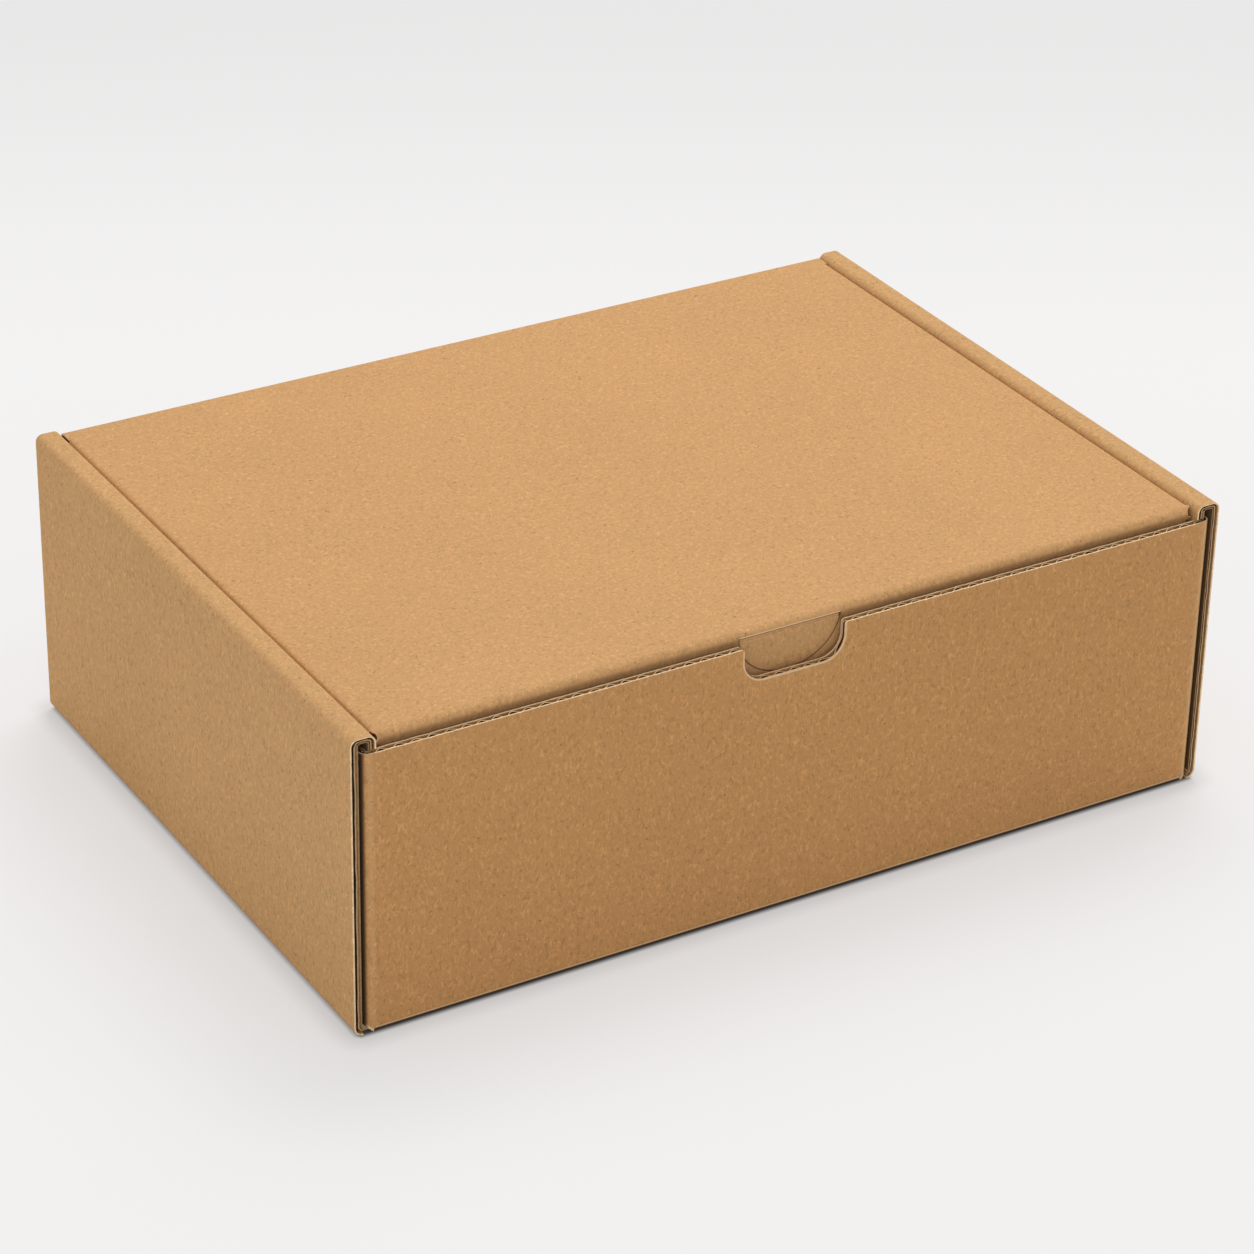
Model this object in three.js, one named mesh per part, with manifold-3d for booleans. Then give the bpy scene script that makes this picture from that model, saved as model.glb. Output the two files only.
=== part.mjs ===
// Corrugated shipping box: one die-cut sheet of board folded into a tray with
// double side walls, and the lid that is hinged along the top of its back wall.
// Millimetres. X runs to the right along the front, Y to the back, Z up.
// The origin is the middle of the footprint, on the floor.

import * as THREE from 'three';
import { mergeGeometries, mergeVertices } from 'three/addons/utils/BufferGeometryUtils.js';
import Module from 'manifold-3d';

const wasm = await Module();
wasm.setup();

// The closed box, outside
const BOX_WIDTH = 350;
const BOX_DEPTH = 252;
const BOX_HEIGHT = 115;

// The board and how it folds
const BOARD = 3;
const LINER = 0.4;
const MEDIUM = 0.4;
const FLUTE_PITCH = 6.1;
const FLUTE_OPEN_DEPTH = 5;
const FOLD_INSIDE_RADIUS = 0.4;
const LAYER_GAP = 0.3;

// Side walls: two layers of board joined by a flat ridge at the top
const RIDGE_BOARD = 2;
const RIDGE_RADIUS = 2.8;
const RIDGE_INSIDE_RADIUS = 0.8;
const SIDE_END_SETBACK = 1;
const CHANNEL_WIDTH = 1.1;
const LOCK_TAB_WIDTH = 42;
const LOCK_TAB_SPACING = 120;

// Front and back walls, with a flap at each end that runs between the side layers
const FRONT_EDGE_DROP = 6.1;
const CORNER_FLAP_LENGTH = 62;
const CORNER_FLAP_TAPER = 5;
const CORNER_FLAP_RADIUS = 6;

// Thumb notch in the front wall's top edge
const NOTCH_WIDTH = 40.6;
const NOTCH_DEPTH = 13.4;
const NOTCH_RADIUS = 8.5;
const NOTCH_LIP_RADIUS = 1.2;
const NOTCH_OFF_CENTRE = -5.5;

// Lid, its front crease and the flap that tucks in behind the front wall
const LID_DROP = 1.2;
const LID_SIDE_GAP = 0.7;
const LID_FRONT_GAP = 0.6;
const CREASE_RADIUS = 2.6;
const TUCK_FLAP_HEIGHT = 40;
const SWING_CLEARANCE = 0.35;
const EAR_LENGTH = 48;
const EAR_TAPER = 6;
const EAR_RADIUS = 9;
const EAR_TOP_GAP = 1.5;
const RELIEF_RADIUS = 1.8;
const PULL_TAB_DEPTH = 17.5;
const CUT_LINE_WIDTH = 0.5;
const CUT_LINE_DEPTH = 1;

// How finely round stretches are divided
const FOLD_STEPS = 4;
const ARC_STEP_LENGTH = 1.5;
const PULL_TAB_STEPS = 20;
const RELIEF_STEPS = 16;

// How far a cut runs past the material that it removes
const OVERCUT = 1;

// Places that follow from the sizes above
const halfWidth = BOX_WIDTH / 2;
const halfDepth = BOX_DEPTH / 2;
const foldOutside = BOARD + FOLD_INSIDE_RADIUS;
const sideThickness = 2 * BOARD + BOARD + 2 * LAYER_GAP;
const innerWallFace = halfWidth - sideThickness;
const innerWallBack = innerWallFace + BOARD;
const outerWallBack = halfWidth - BOARD;
const innerWallFoot = BOARD + LAYER_GAP;
const sideEnd = halfDepth - SIDE_END_SETBACK;
const flapFace = outerWallBack - LAYER_GAP;
const endWallHalf = flapFace - foldOutside;
const frontEdge = BOX_HEIGHT - FRONT_EDGE_DROP;
const lidTop = BOX_HEIGHT - LID_DROP;
const lidUnderside = lidTop - BOARD;
const backEdge = lidUnderside - LAYER_GAP;
const lidHalf = innerWallFace - LID_SIDE_GAP;
const tuckFace = -halfDepth + BOARD + LID_FRONT_GAP;
const tuckFoot = lidTop - TUCK_FLAP_HEIGHT;
const earTop = lidUnderside - EAR_TOP_GAP;
const notchFloor = frontEdge - NOTCH_DEPTH;

// Points of the arc that rounds the corner between two neighbouring corners
function cornerArc(corner, before, after) {
  const [x, y, radius = 0] = corner;
  const tip = new THREE.Vector2(x, y);
  if (radius <= 0) return [tip];
  const toBefore = new THREE.Vector2(before[0], before[1]).sub(tip).normalize();
  const toAfter = new THREE.Vector2(after[0], after[1]).sub(tip).normalize();
  const halfAngle = Math.acos(toBefore.dot(toAfter)) / 2;
  const middle = toBefore.clone().add(toAfter).normalize();
  const centre = tip.clone().addScaledVector(middle, radius / Math.sin(halfAngle));
  const start = tip.clone().addScaledVector(toBefore, radius / Math.tan(halfAngle)).sub(centre);
  const turn = Math.PI - 2 * halfAngle;
  const way = Math.sign(toAfter.cross(toBefore));
  const steps = Math.max(FOLD_STEPS, Math.ceil((turn * radius) / ARC_STEP_LENGTH));
  return Array.from({ length: steps + 1 }, (_, step) =>
    start.clone().rotateAround(new THREE.Vector2(), (way * turn * step) / steps).add(centre));
}

// A closed outline from its corners, each written as [across, up, radius]
function outline(corners) {
  const count = corners.length;
  const points = corners.flatMap((corner, i) =>
    cornerArc(corner, corners[(i + count - 1) % count], corners[(i + 1) % count]));
  return new THREE.Shape(points);
}

const mirrored = (corners) => corners.map(([across, up, radius]) => [-across, up, radius]).reverse();

function extrude(corners, depth) {
  return new THREE.ExtrudeGeometry(outline(corners), { depth, bevelEnabled: false });
}

// Prisms whose outline is seen along Z, along Y and along X
function alongZ(corners, low, high) {
  return extrude(corners, high - low).translate(0, 0, low);
}

function alongY(corners, front, back) {
  return extrude(corners, back - front).rotateX(Math.PI / 2).translate(0, back, 0);
}

function alongX(corners, left, right) {
  const yzToXyz = new THREE.Matrix4().set(0, 0, 1, 0, 1, 0, 0, 0, 0, 1, 0, 0, 0, 0, 0, 1);
  return extrude(corners, right - left).applyMatrix4(yzToXyz).translate(left, 0, 0);
}

function box(low, high) {
  const size = high.map((value, axis) => value - low[axis]);
  const middle = high.map((value, axis) => (value + low[axis]) / 2);
  return new THREE.BoxGeometry(...size).translate(...middle);
}

// Booleans
function solid(geometry) {
  const bare = geometry.index ? geometry.toNonIndexed() : geometry.clone();
  bare.deleteAttribute('normal');
  bare.deleteAttribute('uv');
  const merged = mergeVertices(bare);
  return new wasm.Manifold(new wasm.Mesh({
    numProp: 3,
    vertProperties: new Float32Array(merged.attributes.position.array),
    triVerts: new Uint32Array(merged.index.array),
  }));
}

const union = (...geometries) => geometries.map(solid).reduce((all, next) => all.add(next));

function toGeometry(manifold) {
  const mesh = manifold.getMesh();
  const geometry = new THREE.BufferGeometry();
  geometry.setAttribute('position', new THREE.BufferAttribute(mesh.vertProperties, 3));
  geometry.setIndex(new THREE.BufferAttribute(mesh.triVerts, 1));
  return geometry;
}

// Flutes: the wavy middle layer leaves a row of three-sided channels between
// the liners, with their bases on either liner in turn. Each outline is
// written as [along the edge, through the board].
function fluteOutlines(from, to, face, throughBoard) {
  const nearLiner = face + throughBoard * LINER;
  const farLiner = face + throughBoard * (BOARD - LINER);
  const slope = Math.atan2(BOARD - 2 * LINER, FLUTE_PITCH / 2);
  const inset = MEDIUM / (2 * Math.sin(slope));
  const tipGap = throughBoard * inset * Math.tan(slope);
  const count = Math.floor((2 * (to - from)) / FLUTE_PITCH) - 1;
  return Array.from({ length: count }, (_, i) => {
    const start = from + (i * FLUTE_PITCH) / 2;
    const [base, tip] = i % 2 ? [farLiner, nearLiner + tipGap] : [nearLiner, farLiner - tipGap];
    return [[start + inset, base], [start + FLUTE_PITCH - inset, base], [start + FLUTE_PITCH / 2, tip]];
  });
}

// Tray
function sideWallsAndBottom() {
  const rightHalf = [
    [halfWidth, 0, foldOutside],
    [halfWidth, BOX_HEIGHT, RIDGE_RADIUS],
    [innerWallFace, BOX_HEIGHT, RIDGE_RADIUS],
    [innerWallFace, innerWallFoot],
    [innerWallBack, innerWallFoot],
    [innerWallBack, BOX_HEIGHT - RIDGE_BOARD, RIDGE_INSIDE_RADIUS],
    [outerWallBack, BOX_HEIGHT - RIDGE_BOARD, RIDGE_INSIDE_RADIUS],
    [outerWallBack, BOARD, FOLD_INSIDE_RADIUS],
  ];
  const folded = solid(alongY([...rightHalf, ...mirrored(rightHalf)], -sideEnd, sideEnd));
  return [-1, 1].reduce((sheet, end) => sheet.subtract(solid(endWallRoom(end))), folded);
}

// Room for a front or back wall between the outer side walls and below the ridges
function endWallRoom(end) {
  const inside = halfDepth - BOARD - LAYER_GAP;
  const [front, back] = end < 0 ? [-halfDepth - OVERCUT, -inside] : [inside, halfDepth + OVERCUT];
  return box([-outerWallBack, front, -OVERCUT], [outerWallBack, back, frontEdge + LAYER_GAP]);
}

function endWalls() {
  const section = [
    [-halfDepth, 0, foldOutside],
    [halfDepth, 0, foldOutside],
    [halfDepth, backEdge],
    [halfDepth - BOARD, backEdge],
    [halfDepth - BOARD, BOARD, FOLD_INSIDE_RADIUS],
    [-halfDepth + BOARD, BOARD, FOLD_INSIDE_RADIUS],
    [-halfDepth + BOARD, frontEdge],
    [-halfDepth, frontEdge],
  ];
  const walls = solid(alongX(section, -endWallHalf, endWallHalf));
  return [-1, 1].reduce((sheet, side) => sheet.subtract(solid(backShoulder(side))), walls);
}

// The back wall is as low as the front one where the ridges pass over it
function backShoulder(side) {
  const xs = [side * lidHalf, side * (halfWidth + OVERCUT)].sort((a, b) => a - b);
  return box([xs[0], halfDepth - BOARD - OVERCUT, frontEdge], [xs[1], halfDepth + OVERCUT, BOX_HEIGHT]);
}

// One upright corner fold and its flap; side and end are -1 or 1
function cornerFlap(side, end) {
  const x = side * flapFace;
  const y = end * halfDepth;
  const foldEnd = end * (halfDepth - foldOutside);
  const seam = side * (endWallHalf - OVERCUT);
  const fold = [
    [seam, y],
    [x, y, foldOutside],
    [x, foldEnd - end * OVERCUT],
    [x - side * BOARD, foldEnd - end * OVERCUT],
    [x - side * BOARD, y - end * BOARD, FOLD_INSIDE_RADIUS],
    [seam, y - end * BOARD],
  ];
  const freeEnd = end * (halfDepth - CORNER_FLAP_LENGTH);
  const flap = [
    [foldEnd, innerWallFoot],
    [freeEnd, innerWallFoot + CORNER_FLAP_TAPER, CORNER_FLAP_RADIUS],
    [freeEnd, frontEdge - CORNER_FLAP_TAPER, CORNER_FLAP_RADIUS],
    [foldEnd, frontEdge],
  ];
  const [left, right] = [x, x - side * BOARD].sort((a, b) => a - b);
  return union(alongZ(fold, innerWallFoot, frontEdge), alongX(flap, left, right));
}

function lockTabPlaces() {
  return [-1, 1].flatMap((side) => [-1, 1].map((end) => [side, (end * LOCK_TAB_SPACING) / 2]));
}

function lockTab([side, y], clearance, low, high) {
  const xs = [side * (innerWallFace - clearance), side * (innerWallBack + clearance)];
  const [left, right] = xs.sort((a, b) => a - b);
  const reach = LOCK_TAB_WIDTH / 2 + clearance;
  return box([left, y - reach, low], [right, y + reach, high]);
}

// The notch is open at the top, where its two lips are rounded off
function thumbNotch() {
  const left = NOTCH_OFF_CENTRE - NOTCH_WIDTH / 2;
  const right = NOTCH_OFF_CENTRE + NOTCH_WIDTH / 2;
  const lip = NOTCH_LIP_RADIUS + OVERCUT;
  const corners = [
    [left - lip, frontEdge + OVERCUT],
    [left - lip, frontEdge],
    [left, frontEdge, NOTCH_LIP_RADIUS],
    [left, notchFloor, NOTCH_RADIUS],
    [right, notchFloor, NOTCH_RADIUS],
    [right, frontEdge, NOTCH_LIP_RADIUS],
    [right + lip, frontEdge],
    [right + lip, frontEdge + OVERCUT],
  ];
  return alongY(corners, -halfDepth - OVERCUT, -halfDepth + BOARD + OVERCUT);
}

// Height of the front wall's cut edge at x, with the notch's round corners
function frontEdgeAt(x) {
  const fromSide = NOTCH_WIDTH / 2 - Math.abs(x - NOTCH_OFF_CENTRE);
  if (fromSide <= 0) return frontEdge;
  const intoCorner = Math.max(NOTCH_RADIUS - fromSide, 0);
  return notchFloor + NOTCH_RADIUS - Math.sqrt(NOTCH_RADIUS ** 2 - intoCorner ** 2);
}

// Flutes stand upright in the front wall and open on its top edge and in the notch
function frontEdgeFlutes() {
  return fluteOutlines(-endWallHalf, endWallHalf, -halfDepth, 1).map((cell) => {
    const middle = cell[2][0];
    return alongZ(cell, frontEdgeAt(middle) - FLUTE_OPEN_DEPTH, frontEdge + OVERCUT);
  });
}

// The outer liner stands off the rest of the board along a side wall's raw end,
// from the bottom fold up over the ridge, and leaves one open channel behind it
function sideEndChannel(side, end) {
  const far = LINER + CHANNEL_WIDTH;
  const section = [
    [halfWidth - foldOutside, LINER],
    [halfWidth - LINER, LINER, foldOutside - LINER],
    [halfWidth - LINER, BOX_HEIGHT - LINER, RIDGE_RADIUS - LINER],
    [innerWallFace + LINER, BOX_HEIGHT - LINER, RIDGE_RADIUS - LINER],
    [innerWallFace + LINER, frontEdge],
    [innerWallFace + far, frontEdge],
    [innerWallFace + far, BOX_HEIGHT - far, RIDGE_RADIUS - far],
    [halfWidth - far, BOX_HEIGHT - far, RIDGE_RADIUS - far],
    [halfWidth - far, far, foldOutside - far],
    [halfWidth - foldOutside, far],
  ];
  const [front, back] = [end * (sideEnd - FLUTE_OPEN_DEPTH), end * (sideEnd + OVERCUT)].sort((a, b) => a - b);
  return alongY(side > 0 ? section : mirrored(section), front, back);
}

function tray() {
  const tabs = lockTabPlaces();
  const slots = tabs.map((place) => lockTab(place, LAYER_GAP, -OVERCUT, innerWallFoot - LAYER_GAP / 2));
  const lockingTabs = tabs.map((place) => lockTab(place, 0, LAYER_GAP, innerWallFoot + OVERCUT));
  const flaps = [-1, 1].flatMap((side) => [-1, 1].map((end) => cornerFlap(side, end)));
  const sheet = flaps.reduce((all, flap) => all.add(flap), sideWallsAndBottom().add(endWalls()));
  const locked = sheet.subtract(union(...slots)).add(union(...lockingTabs));
  const channels = [-1, 1].flatMap((side) => [-1, 1].map((end) => sideEndChannel(side, end)));
  const flutes = solid(mergeGeometries(frontEdgeFlutes()));
  return locked.subtract(solid(thumbNotch())).subtract(flutes).subtract(union(...channels));
}

// Lid
// The tuck flap leans back just enough for its foot to clear the front wall's
// edge as the lid swings about the outer top edge of the back wall.
function tuckLean() {
  const nearEdge = 2 * halfDepth - BOARD;
  const swing = Math.hypot(nearEdge, lidTop - frontEdge) - SWING_CLEARANCE;
  const footFace = halfDepth - Math.sqrt(swing ** 2 - TUCK_FLAP_HEIGHT ** 2);
  return (footFace - tuckFace) / TUCK_FLAP_HEIGHT;
}

// Slides each level back in proportion to its distance below the lid's top
function leanBack(geometry) {
  const lean = tuckLean();
  return geometry.applyMatrix4(
    new THREE.Matrix4().set(1, 0, 0, 0, 0, 1, -lean, lean * lidTop, 0, 0, 1, 0, 0, 0, 0, 1));
}

function lidPanel() {
  const section = [
    [halfDepth, lidTop, CREASE_RADIUS],
    [tuckFace + CREASE_RADIUS, lidTop],
    [tuckFace + CREASE_RADIUS, lidUnderside],
    [halfDepth, lidUnderside],
  ];
  return alongX(section, -lidHalf, lidHalf);
}

// Crease and tuck flap in one strip that reaches down to foot
function creasedStrip(foot, left, right) {
  const face = (level) => tuckFace + tuckLean() * (lidTop - level);
  const section = [
    [tuckFace + foldOutside + OVERCUT, lidTop],
    [tuckFace, lidTop, CREASE_RADIUS],
    [face(foot), foot],
    [face(foot) + BOARD, foot],
    [face(lidUnderside) + BOARD, lidUnderside, FOLD_INSIDE_RADIUS],
    [tuckFace + foldOutside + OVERCUT, lidUnderside],
  ];
  return alongX(section, left, right);
}

// The crease runs on to the lid's side edges, past the flap's straight stretch
function creaseAndTuckFlap() {
  const straight = lidHalf - foldOutside;
  return union(creasedStrip(tuckFoot, -straight, straight), creasedStrip(earTop, -lidHalf, lidHalf));
}

function earFold(side) {
  const x = side * lidHalf;
  const seam = side * (lidHalf - foldOutside - OVERCUT);
  const foldEnd = tuckFace + foldOutside;
  const fold = [
    [seam, tuckFace],
    [x, tuckFace, foldOutside],
    [x, foldEnd + OVERCUT],
    [x - side * BOARD, foldEnd + OVERCUT],
    [x - side * BOARD, tuckFace + BOARD, FOLD_INSIDE_RADIUS],
    [seam, tuckFace + BOARD],
  ];
  return leanBack(alongZ(fold, tuckFoot, earTop));
}

function ear(side) {
  const foldEnd = tuckFace + foldOutside;
  const freeEnd = tuckFace + EAR_LENGTH;
  const corners = [
    [foldEnd, tuckFoot],
    [freeEnd, tuckFoot + EAR_TAPER, EAR_RADIUS],
    [freeEnd, earTop - EAR_TAPER, EAR_RADIUS],
    [foldEnd, earTop],
  ];
  const [left, right] = [side * lidHalf, side * (lidHalf - BOARD)].sort((a, b) => a - b);
  return leanBack(alongX(corners, left, right));
}

// Round bite where the crease, the lid's side edge and the ear meet
function cornerRelief(side) {
  const bite = new THREE.CylinderGeometry(RELIEF_RADIUS, RELIEF_RADIUS, 4 * BOARD, RELIEF_STEPS);
  const intoCrease = CREASE_RADIUS * (1 - Math.SQRT1_2);
  return bite.rotateX(Math.PI / 4).translate(side * lidHalf, tuckFace + intoCrease, lidTop - CREASE_RADIUS);
}

// Half-moon cut line of the pull tab in the tuck flap, closed along the crease
function pullTabCut() {
  const half = NOTCH_WIDTH / 2;
  const top = lidTop - CREASE_RADIUS;
  const curve = (grow) => Array.from({ length: PULL_TAB_STEPS + 1 }, (_, step) => {
    const angle = (-Math.PI * step) / PULL_TAB_STEPS;
    const across = NOTCH_OFF_CENTRE + (half + grow) * Math.cos(angle);
    return [across, top + (PULL_TAB_DEPTH + grow) * Math.sin(angle)];
  });
  const line = CUT_LINE_WIDTH / 2;
  const halfMoon = [...curve(line), ...curve(-line).reverse()];
  const slit = [
    [NOTCH_OFF_CENTRE - half - line, top - line],
    [NOTCH_OFF_CENTRE + half + line, top - line],
    [NOTCH_OFF_CENTRE + half + line, top + line],
    [NOTCH_OFF_CENTRE - half - line, top + line],
  ];
  const [front, back] = [tuckFace - OVERCUT, tuckFace + CUT_LINE_DEPTH];
  return union(leanBack(alongY(halfMoon, front, back)), leanBack(alongY(slit, front, back)));
}

function tuckFootFlutes() {
  const half = lidHalf - foldOutside;
  const cells = fluteOutlines(-half, half, tuckFace, 1);
  const prisms = cells.map((cell) => alongZ(cell, tuckFoot - OVERCUT, tuckFoot + FLUTE_OPEN_DEPTH));
  return leanBack(mergeGeometries(prisms));
}

function lid() {
  const ears = union(earFold(-1), earFold(1), ear(-1), ear(1));
  const sheet = solid(lidPanel()).add(creaseAndTuckFlap()).add(ears);
  const relieved = sheet.subtract(solid(cornerRelief(-1))).subtract(solid(cornerRelief(1)));
  return relieved.subtract(pullTabCut()).subtract(solid(tuckFootFlutes()));
}

// Materials
function kraftBoard(colour) {
  return new THREE.MeshStandardMaterial({ color: colour, roughness: 0.9, metalness: 0 });
}

function part(name, manifold, colour) {
  const mesh = new THREE.Mesh(toGeometry(manifold), kraftBoard(colour));
  mesh.name = name;
  return mesh;
}

const KRAFT_WALL = 0xb9905f;
const KRAFT_LID = 0xc79e6b;

const shippingBox = new THREE.Group();
shippingBox.name = 'shipping_box';
shippingBox.add(part('box_tray', tray(), KRAFT_WALL));
shippingBox.add(part('box_lid', lid(), KRAFT_LID));

export default shippingBox;
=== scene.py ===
"""Looks of the corrugated shipping box: kraft board, camera, floor and soft light.

Metres. X runs to the right along the front wall, Y to the hinge at the back, Z up.
The origin is the middle of the footprint, on the floor.
"""

import bpy
import numpy as np
from mathutils import Matrix, Vector


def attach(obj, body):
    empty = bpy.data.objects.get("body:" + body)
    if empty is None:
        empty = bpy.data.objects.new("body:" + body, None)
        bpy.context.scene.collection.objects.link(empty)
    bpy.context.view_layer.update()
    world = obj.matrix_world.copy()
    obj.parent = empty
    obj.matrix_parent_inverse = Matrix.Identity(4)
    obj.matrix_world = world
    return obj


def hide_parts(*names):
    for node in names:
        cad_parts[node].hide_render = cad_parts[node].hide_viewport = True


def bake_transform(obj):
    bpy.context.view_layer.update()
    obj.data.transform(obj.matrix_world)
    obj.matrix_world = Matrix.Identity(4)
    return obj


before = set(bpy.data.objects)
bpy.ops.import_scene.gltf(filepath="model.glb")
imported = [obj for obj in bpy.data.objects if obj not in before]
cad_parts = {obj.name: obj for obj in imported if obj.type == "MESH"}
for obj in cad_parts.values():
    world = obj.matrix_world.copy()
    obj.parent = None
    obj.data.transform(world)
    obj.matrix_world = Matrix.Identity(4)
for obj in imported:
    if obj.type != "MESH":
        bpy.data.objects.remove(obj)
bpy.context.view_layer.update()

MM = 0.001

# The board, in millimetres
BOARD = 3.0
LINER_SHARE = 0.20
MEDIUM_HALF = 0.06
WAVE_SHARE = 0.26
FLUTE_PITCH = 6.1
FOLD_OUTSIDE = 3.4
FOLD_INSIDE = 0.4
WAVE_DEPTH = 14.0
WAVE_STEP = 0.5
# Even part and unrest of a cut edge, and how far the middle layer lies below it, in millimetres
RAGGED, SUNK_IN_WALL, SUNK_IN_FLAP = (0.05, 0.05), (0.35, 0.12), (0.3, 0.1)
# Layers of a side wall's raw end, as shares of the board's thickness from its outside
TAN_LAYER, DIM_LAYER_TO, INNER_LINER_FROM, CHANNEL_FILL_TO = (0.52, 0.69), 0.90, 0.88, 0.50

# Walls, in millimetres
HALF_WIDTH, HALF_DEPTH, HEIGHT = 175.0, 126.0, 115.0
SIDE_END = 125.0
INNER_FACE, INNER_BACK = 165.4, 168.4
OUTER_BACK = 172.0
INNER_FOOT = 3.3
RIDGE_RADIUS, RIDGE_INSIDE = 2.8, 0.8
RIDGE_UNDERSIDE = 113.0
CHANNEL_DEPTH = 5.0
# Sections along a side wall, steps up each layer, and the even step that its unrest is counted in
SIDE_WALL_STATIONS, SIDE_WALL_ROWS, SECTION_STEP = 9, 90, 1.3
TAN_SETBACK, DIM_SETBACK = 0.25, 0.7
RIDGE_BEND_FROM = 100.0
END_WALL_HALF = 167.7
FLAP_FREE_END = 64.0
FLAP_TAPER, FLAP_ROUND = 5.0, 6.0
FLAP_STEPS = 30
FRONT_EDGE = 108.9
BACK_WALL_TOP = 107.5
TAB_HALF, TAB_MIDDLE, TAB_GAP = 21.0, 60.0, 0.3

# Thumb notch, in millimetres
NOTCH_MIDDLE, NOTCH_HALF = -5.5, 20.3
NOTCH_FLOOR, NOTCH_RADIUS, NOTCH_LIP = 95.5, 8.5, 1.2
NOTCH_SPREAD, NOTCH_SPREAD_REACH, LEAN_FROM = 0.35, 34.0, 0.4

# Lid, in millimetres
LID_HALF, LID_TOP, LID_UNDERSIDE = 164.7, 113.8, 110.8
LID_BACK = 118.4
CREASE_RADIUS = 2.6
TUCK_FACE, TUCK_FOOT, TUCK_LEAN = -122.4, 73.8, 0.0735
EAR_TOP, EAR_END, EAR_TAPER, EAR_ROUND = 109.3, 48.0, 6.0, 9.0
RELIEF_RADIUS, RELIEF_REACH = 1.8, 6.0
PRESSED_RIM, PRESSED_DROP, CORE_INSET = 1.9, 1.3, 0.45
SLIT_BULGE = 0.35
PANEL_FRONT, RIM_WIDTH = 6.0, 7.0
PULL_TAB_DEPTH = 17.5

# Kraft board
LID_COLOUR = (0.634, 0.355, 0.151)
WALL_COLOUR = (0.632, 0.363, 0.155)
# The end walls' colour: a darker copy of the wall colour, painted shade for their weaker light
FRONT_SHADED_COLOUR = (0.570, 0.298, 0.113)
EDGE_COLOUR = (0.90, 0.65, 0.39)
# Colour of the painted highlights on the front wall's rounded corners
PAINTED_HIGHLIGHT_COLOUR = (0.82, 0.56, 0.31)
DULL_COLOUR = (0.50, 0.32, 0.17)
RAW_COLOUR = (0.33, 0.20, 0.095)
# Near black: painted shade inside the board's flutes and channels
DEEP_SHADE_COLOUR = (0.085, 0.042, 0.017)

# Paper of the liners: noise scales per metre, and how much each changes the shade
PULP_SCALE, GRAIN_SCALE, CLOUD_SCALE, SPECK_SCALE = 420.0, 1500.0, 16.0, 700.0
PULP_SHADE, GRAIN_SHADE, CLOUD_SHADE, SPECK_SHADE = 0.12, 0.30, 0.12, 0.35
UPRIGHT_STRETCH = 0.55
# Scale, offset in metres and change of shade of each set of fibres
FIBRES = ((430.0, 0.0, 0.15), (560.0, 0.37, 0.15), (500.0, 0.71, -0.16))
BUMP_DISTANCE, BUMP_STRENGTH = 0.00012, 0.5

# Marks, painted highlights and painted shade, in millimetres: where each begins and ends, or fades in
OUTSIDE_OF_END_WALL = (123.7, 124.2)
OUTSIDE_OF_SIDE_WALL = (172.7, 173.2)
# Painted highlight along the front wall's foot fold, and painted shade on the undersides of the folds
FOOT_HIGHLIGHT, FOOT_HIGHLIGHT_SOFT = (2.1, 2.6), 0.3
FOOT_SHADE, SIDE_FOOT_SHADE = (2.0, 1.6), (1.6, 0.8)
# Slanting point in which the painted foot highlight ends at each corner
POINT_LOW, POINT_SLOPE, POINT_HIGHLIGHT = 0.5, 0.85, (1.3, 0.8)
# Painted sheen and painted highlight line on the front wall's rounded corners, and painted shade in the
# gap beside them
CORNER_SHEEN, CORNER_SHEEN_SOFT = (167.2, 169.0), 0.8
CORNER_HIGHLIGHT, CORNER_HIGHLIGHT_SOFT = (168.4, 169.0), 0.3
CORNER_GAP_SHADE = (169.6, 170.7)
NOTCH_RIM, NOTCH_RIM_DEPTH = (0.8, 0.3), (-125.0, -125.6)
# Painted shade, near black, in the hollow between a side wall's two layers
HOLLOW_ACROSS, HOLLOW_UP, HOLLOW_SOFT = (168.2, 172.2), (3.5, 113.2), 0.1
FLAP_OUTSIDE, SLIT_OUTSIDE = (-118.0, -118.5), (-121.2, -121.6)
PULL_TAB_LINE, PULL_TAB_TOP = (0.38, 0.14), 0.3
# The slit's raw edge, the painted shadow line under it, and the cut lines at its ends
SLIT_SHADOW_LINE, SLIT_EDGE, SLIT_SOFT = (-0.62, -0.12), (0.0, 0.42), 0.1
SLIT_END_HALF, SLIT_END_DEPTH, SLIT_END_SOFT = 0.18, 2.4, 0.2
# Painted shade on the crease beside the slit, and on the tuck flap's face below the crease
CREASE_SHADE_TOP, CREASE_SHADE_FOOT = (112.7, 109.6), (106.0, 108.8)
FLAP_SHADE = (111.0, 110.4)

# Camera
CAMERA_LENS = 122.12
CAMERA_PLACE = (-0.70543, -1.17641, 0.81382)
CAMERA_FORWARD = (0.45082347, 0.74815046, -0.48685634)
CAMERA_RIGHT = (0.86137647, -0.50766569, 0.01749676)

# Floor and light
FLOOR_RADII, FLOOR_SIDES, FLOOR_LEVEL = (0.5, 1.5, 4.0, 12.0), 64, -0.0002
FLOOR_COLOUR = (0.80, 0.795, 0.79)
WORLD_COLOUR = (1.0, 0.995, 0.985)
WORLD_STRENGTH = 0.62
BACKDROP_COLOUR = (0.82, 0.82, 0.82)
# Painted light: the floor's tone to the camera, near and far
FLOOR_TONE_NEAR = (0.932, 0.924, 0.926)
FLOOR_TONE_FAR = (0.795, 0.790, 0.795)
# Level direction in which the camera looks, and from where to where the floor's tone changes, in mm:
# painted light, lighter near the camera and darker far off
CAMERA_HEADING, TONE_CHANGE = (0.516, 0.856), (300.0, 800.0)
FLOOR_EVENNESS = 0.75
CONTACT_EVENNESS = 0.57
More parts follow.
